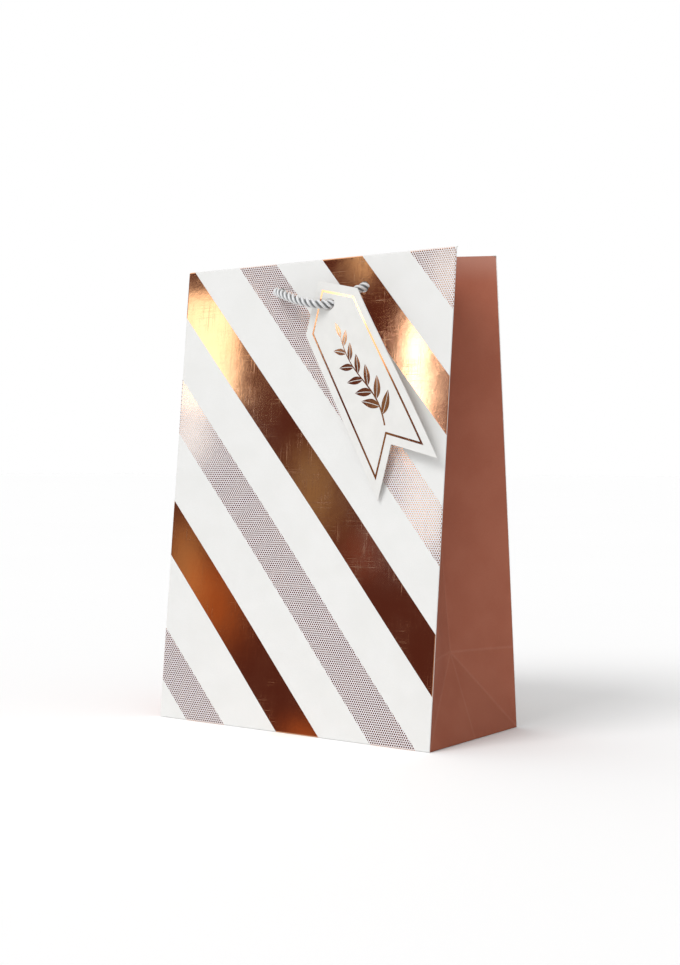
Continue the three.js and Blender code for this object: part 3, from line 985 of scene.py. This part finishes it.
def tag_outline():
    half = TAG_WIDTH / 2
    return [
        Vector((0, TAG_HOLE_FROM_POINT)), Vector((-half, TAG_SHOULDER)), Vector((-half, TAG_TIP)),
        Vector((0, TAG_TIP + TAG_NOTCH)), Vector((half, TAG_TIP)), Vector((half, TAG_SHOULDER)),
    ]


def inset_outline(points, inset):
    """The outline moved inwards by the inset, with mitred corners. It runs anticlockwise."""
    moved = []
    for before, corner, after in zip(points[-1:] + points[:-1], points, points[1:] + points[:1]):
        first = (corner - before).normalized()
        second = (after - corner).normalized()
        inward_1 = Vector((-first.y, first.x))
        inward_2 = Vector((-second.y, second.x))
        across = (inward_1 + inward_2).normalized()
        moved.append(corner + across * (inset / across.dot(inward_1)))
    return moved


TAG_ROWS = 96
TAG_COLUMNS = 36


def tag_matrix():
    turned = Euler(TAG_TURNS, "XYZ").to_matrix().to_4x4()
    return wall_matrix("front") @ Matrix.Translation(TAG_PLACE) @ turned


def tag_sheet():
    """The card: columns run from the notched bottom to the pointed top."""
    half = TAG_WIDTH / 2
    points = np.zeros((TAG_ROWS + 1, TAG_COLUMNS + 1, 3))
    for c in range(TAG_COLUMNS + 1):
        x = -half + TAG_WIDTH * c / TAG_COLUMNS
        top = TAG_HOLE_FROM_POINT - TAG_POINT_HEIGHT * abs(x) / half
        bottom = TAG_TIP + TAG_NOTCH * (1 - abs(x) / half)
        for r in range(TAG_ROWS + 1):
            y = bottom + (top - bottom) * r / TAG_ROWS
            points[r, c] = (x, y, TAG_THICKNESS / 2 + tag_lift(x, y))
    card = link_mesh(
        sheet_mesh("gift_tag_card", points, TAG_THICKNESS),
        ["tag_card", "tag_card"], tag_matrix())
    punch(card, [(0, 0)], TAG_HOLE_SIZE, TAG_HOLE_TURN, 48)
    card.visible_glossy = False
    smooth(card)
    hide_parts("gift_tag")
    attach(card, "tag")


STAMP_LIFT = TAG_THICKNESS / 2 + 0.00005  # from the card's middle to the face of the foil on it
STAMP_THICKNESS = 0.000025


def stamped(name, strips):
    """Foil stamped on the tag, from strips of point pairs (left, right) in the tag's plane."""
    vertices, faces = [], []
    for strip in strips:
        first = len(vertices)
        for pair in strip:
            vertices.extend([(x, y, STAMP_LIFT + tag_lift(x, y)) for x, y in pair])
        for i in range(len(strip) - 1):
            a = first + 2 * i
            faces.append((a, a + 1, a + 3, a + 2))
    mesh = bpy.data.meshes.new(name)
    mesh.from_pydata(vertices, [], faces)
    shape = bmesh.new()
    shape.from_mesh(mesh)
    bmesh.ops.remove_doubles(shape, verts=shape.verts, dist=0.000001)
    for face in shape.faces:
        face.normal_update()
        if face.normal.z < 0:
            face.normal_flip()
    shape.to_mesh(mesh)
    shape.free()
    piece = link_mesh(mesh, ["foil"], tag_matrix())
    piece.visible_glossy = False
    thicken(piece, STAMP_THICKNESS)
    smooth(piece, math.radians(50))
    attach(piece, "tag")


BORDER_INSET = 0.0043
BORDER_WIDTH = 0.00115
BORDER_STEPS = 16


def tag_border():
    outer = inset_outline(tag_outline(), BORDER_INSET)
    inner = inset_outline(tag_outline(), BORDER_INSET + BORDER_WIDTH)
    strips = []
    for i in range(len(outer)):
        j = (i + 1) % len(outer)
        strips.append([
            (outer[i].lerp(outer[j], k / BORDER_STEPS), inner[i].lerp(inner[j], k / BORDER_STEPS))
            for k in range(BORDER_STEPS + 1)
        ])
    stamped("gift_tag_border", strips)


STEM_ROOT = -0.075
STEM_HEIGHT = 0.056
STEM_SWAY = 0.0036
STEM_HALF_WIDTH = 0.00050
STEM_STEPS = 48
LEAVES = 11
LEAF_LENGTH = 0.0138
LEAF_SLIMNESS = 0.19
LEAF_ANGLE = math.radians(44)
LEAF_STEPS = 14
VEIN = 0.00016  # half the bare gap between two half leaves
TOP_LEAF = (0.0085, 0.0015)


def stem_at(share):
    """The sprig's curved stem, from its root near the notch to its tip below the rope."""
    y = STEM_ROOT + STEM_HEIGHT * share
    x = STEM_SWAY * math.sin(share * math.pi * 1.7 + 0.35) * (1 - 0.35 * share)
    return Vector((x, y))


def leaf_strips(root, angle, length, width):
    """Two half leaves with a bare vein between them."""
    along = Vector((math.cos(angle), math.sin(angle)))
    across = Vector((-along.y, along.x))
    halves = []
    for side in (1, -1):
        strip = []
        for i in range(LEAF_STEPS + 1):
            share = i / LEAF_STEPS
            swell = width * math.sin(math.pi * share ** 0.85) ** 0.9
            bend = 0.12 * length * share * share
            vein = min(VEIN, 0.3 * swell)
            centre = root + along * (length * share) + across * bend
            strip.append((centre + across * side * vein, centre + across * side * max(swell, vein)))
        halves.append(strip)
    return halves


def tag_sprig():
    """A leafy sprig in foil, where such a tag has its print."""
    stem = []
    for i in range(STEM_STEPS + 1):
        share = i / STEM_STEPS
        here = stem_at(share)
        ahead = (stem_at(min(share + 0.01, 1.0)) - stem_at(max(share - 0.01, 0.0))).normalized()
        aside = Vector((-ahead.y, ahead.x)) * STEM_HALF_WIDTH * (1 - 0.60 * share)
        stem.append((here + aside, here - aside))
    strips = [stem]
    for i in range(LEAVES):
        share = 0.10 + 0.80 * i / (LEAVES - 1)
        side = 1 if i % 2 else -1
        ahead = stem_at(share + 0.01) - stem_at(share - 0.01)
        angle = math.atan2(ahead.y, ahead.x) + side * LEAF_ANGLE
        length = LEAF_LENGTH * (1 - 0.42 * share)
        strips.extend(leaf_strips(stem_at(share), angle, length, length * LEAF_SLIMNESS))
    ahead = stem_at(1.0) - stem_at(0.97)
    strips.extend(leaf_strips(stem_at(0.99), math.atan2(ahead.y, ahead.x), *TOP_LEAF))
    stamped("gift_tag_sprig", strips)


# ---- studio ----

FLOOR_REACH = 30
FLOOR_LEVEL = -0.0001
AMBIENT_LOW = 0.11
AMBIENT_HIGH = 0.97
BRIGHT_SIDE = (-0.42, -0.62, 0.66)
KEY_STRENGTH = 1.34
KEY_SPREAD = math.radians(28)
KEY_AIM = Vector((0.25, 1.0, -1.0))
ROOM_DARK = rgb(0.085, 0.030, 0.027)
GROUND_GLOW = rgb(0.62, 0.60, 0.58)
STRIP_PHASE = 1.44
CARD_DISTANCE = 0.22
TAG_CARD_DISTANCE = 0.08
CARD_CELLS = 12


def stage_floor():
    made, tree = new_material("floor", Roughness=0.9, Specular_IOR_Level=0.0)
    place = object_place(tree)
    tone = rough_noise(place, 3.0, 2.0)
    connect(made, Base_Color=mix_color(tone, rgb(0.955, 0.955, 0.955), rgb(0.97, 0.97, 0.97)))
    mesh = bpy.data.meshes.new("floor")
    signs = ((-1, -1), (1, -1), (1, 1), (-1, 1))
    corners = [(x * FLOOR_REACH, y * FLOOR_REACH, FLOOR_LEVEL) for x, y in signs]
    mesh.from_pydata(corners, [], [(0, 1, 2, 3)])
    mesh.materials.append(made)
    floor = link_mesh(mesh)
    floor.visible_glossy = False


def world_light():
    """White all round, but a dim room with tall bright strips in what is mirrored."""
    world = bpy.data.worlds.new("studio")
    bpy.context.scene.world = world
    world.use_nodes = True
    tree = world.node_tree
    tree.nodes.clear()
    direction = add(tree, "TexCoord", output=0)
    parts = split(direction)
    heading = calc("ARCTAN2", parts[1], parts[0])
    wave = calc("SINE", calc("ADD", calc("MULTIPLY", heading, 7.0), STRIP_PHASE))
    strips = ramp(wave, 0.45, 0.95)
    room = mix_color(strips, ROOM_DARK, rgb(1.0, 0.92, 0.84))
    above = mix_color(ramp(parts[2], 0.40, 0.75), room, rgb(1.0, 0.98, 0.95))
    mirrored = mix_color(ramp(parts[2], -0.35, -0.14, 1.0, 0.0), above, GROUND_GLOW)
    path = tree.nodes.new("ShaderNodeLightPath")
    toward = vector_calc("DOT_PRODUCT", direction, BRIGHT_SIDE, output=1)
    level = ramp(toward, -0.5, 0.8, AMBIENT_LOW, AMBIENT_HIGH)
    soft = add(tree, "CombineColor", {0: level, 1: level, 2: level})
    lit = mix_color(path.outputs["Is Glossy Ray"], soft, mirrored)
    seen = mix_color(path.outputs["Is Camera Ray"], lit, rgb(1, 1, 1))
    shader = add(tree, "Background", {"Color": seen, "Strength": 1.0})
    out = tree.nodes.new("ShaderNodeOutputWorld")
    tree.links.new(shader, out.inputs["Surface"])


def key_light():
    """A broad soft light from high on the front left."""
    data = bpy.data.lights.new("key", "SUN")
    data.energy = KEY_STRENGTH
    data.angle = KEY_SPREAD
    place_object("key", data, KEY_AIM.to_track_quat("-Z", "Y").to_matrix().to_4x4())


def mirrored_spot(matrix, surface, distance, across, up):
    """Where the camera's line of sight lands after it is mirrored at a place on a wall or on the tag."""
    step = 0.001
    def at(x, y):
        return matrix @ Vector((x, y, surface(x, y)))
    place = at(across, up)
    normal = (at(across + step, up) - place).cross(at(across, up + step) - place).normalized()
    sight = (place - CAMERA_PLACE).normalized()
    bounce = sight - 2 * sight.dot(normal) * normal
    return place + bounce * distance


def glow_material(name, color, strength, edge):
    """Light that only mirrors show, soft at the card's edges."""
    made = bpy.data.materials.new(name)
    made.use_nodes = True
    tree = made.node_tree
    tree.nodes.clear()
    spot = add(tree, "UVMap", uv_map="card")
    parts = split(spot)
    mask = None
    for axis in (0, 1):
        from_middle = calc("ABSOLUTE", calc("SUBTRACT", parts[axis], 0.5))
        side = ramp(from_middle, 0.5 - edge, 0.5, 1.0, 0.0)
        mask = side if mask is None else calc("MULTIPLY", mask, side)
    glow = add(tree, "Emission", {"Color": color, "Strength": calc("MULTIPLY", mask, strength)})
    clear = add(tree, "BsdfTransparent")
    both = add(tree, "AddShader", {0: glow, 1: clear})
    out = tree.nodes.new("ShaderNodeOutputMaterial")
    tree.links.new(both, out.inputs["Surface"])
    return made


def glow_card(name, region, color, strength, edge, matrix, surface, distance):
    """A card that is mirrored in one region of a surface, given as (left, right, bottom, top)."""
    left, right, bottom, top = region
    vertices, spots = [], []
    for r in range(CARD_CELLS + 1):
        for c in range(CARD_CELLS + 1):
            across = left + (right - left) * c / CARD_CELLS
            up = bottom + (top - bottom) * r / CARD_CELLS
            vertices.append(mirrored_spot(matrix, surface, distance, across, up))
            spots.append((c / CARD_CELLS, r / CARD_CELLS))
    faces = grid_quads(CARD_CELLS + 1, CARD_CELLS + 1)
    mesh = bpy.data.meshes.new(name)
    mesh.from_pydata(vertices, [], faces)
    layer = mesh.uv_layers.new(name="card")
    layer.data.foreach_set("uv", [value for face in faces for corner in face for value in spots[corner]])
    mesh.materials.append(glow_material(name, color, strength, edge))
    card = link_mesh(mesh)
    for kind in ("camera", "diffuse", "transmission", "shadow", "volume_scatter"):
        setattr(card, f"visible_{kind}", False)


# Glow cards: the region of the front wall that mirrors each, its color, strength and soft edge.
GLOWS = [
    ((-0.100, -0.046, 0.172, 0.247), rgb(0.95, 1.0, 0.95), 2.2, 0.16),
    ((-0.104, -0.060, 0.135, 0.200), rgb(0.40, 0.66, 1.0), 2.3, 0.30),
    ((-0.100, -0.060, 0.045, 0.125), rgb(1.0, 0.72, 0.34), 0.30, 0.40),
    ((0.025, 0.039, 0.232, 0.300), rgb(1.0, 0.95, 0.70), 1.3, 0.35),
    ((0.062, 0.077, 0.140, 0.232), rgb(0.9, 0.95, 1.0), 6.5, 0.28),
    ((0.076, 0.100, 0.135, 0.226), rgb(0.80, 0.82, 1.0), 0.25, 0.25),
    ((0.057, 0.098, 0.092, 0.155), rgb(0.40, 0.66, 1.0), 2.2, 0.30),
    ((0.070, 0.106, 0.215, 0.266), rgb(0.40, 0.66, 1.0), 1.8, 0.35),
    ((-0.016, 0.030, 0.095, 0.165), rgb(0.95, 1.0, 0.60), 0.22, 0.40),
    ((-0.088, -0.028, 0.030, 0.102), rgb(1.0, 0.38, 0.07), 0.26, 0.40),
    ((0.026, 0.052, 0.078, 0.114), rgb(1.0, 0.25, 0.05), 0.12, 0.40),
    ((-0.008, 0.034, -0.030, 0.016), rgb(1.0, 0.36, 0.08), 0.30, 0.40),
]
TAG_GLOW = ((0.008, 0.030, -0.062, 0.014), rgb(1.0, 1.0, 0.85), 1.5, 0.30)


def studio():
    stage_floor()
    world_light()
    key_light()
    for number, (region, color, strength, edge) in enumerate(GLOWS):
        name = f"glow_{number + 1}"
        glow_card(name, region, color, strength, edge, wall_matrix("front"), bow_at, CARD_DISTANCE)
    glow_card("tag_glow", *TAG_GLOW, tag_matrix(), tag_lift, TAG_CARD_DISTANCE)
    bpy.context.scene.view_settings.view_transform = "Standard"


# ---- putting it together ----

make_camera()
materials = {
    make.__name__: make()
    for make in (
        white_paper, inner_paper, foil, dotted_paper, terracotta_paper, grey_board, tag_card, satin_cord,
    )
}
rope_handle("front", FRONT_ROUTE)
rope_handle("back", BACK_ROUTE)
for side, seed, holes in (("front", FRONT_SEED, FRONT_HOLES), ("back", BACK_SEED, BACK_HOLES)):
    wall_sheet(side, seed, holes)
    for number in range(len(BANDS)):
        band(side, number, seed, holes)
seam_flap()
for side in ("right", "left"):
    for end in ("front", "back"):
        gusset_half(side, end)
tag_sheet()
tag_border()
tag_sprig()

for name, carried in (
    ("grey_board", ("front_rim_stiffener", "back_rim_stiffener", "base_board")),
    ("white_paper", ("bottom_front_flap", "bottom_back_flap", "bottom_right_flap", "bottom_left_flap")),
):
    for node in carried:
        nodes[node].data.materials.clear()
        nodes[node].data.materials.append(materials[name])

studio()
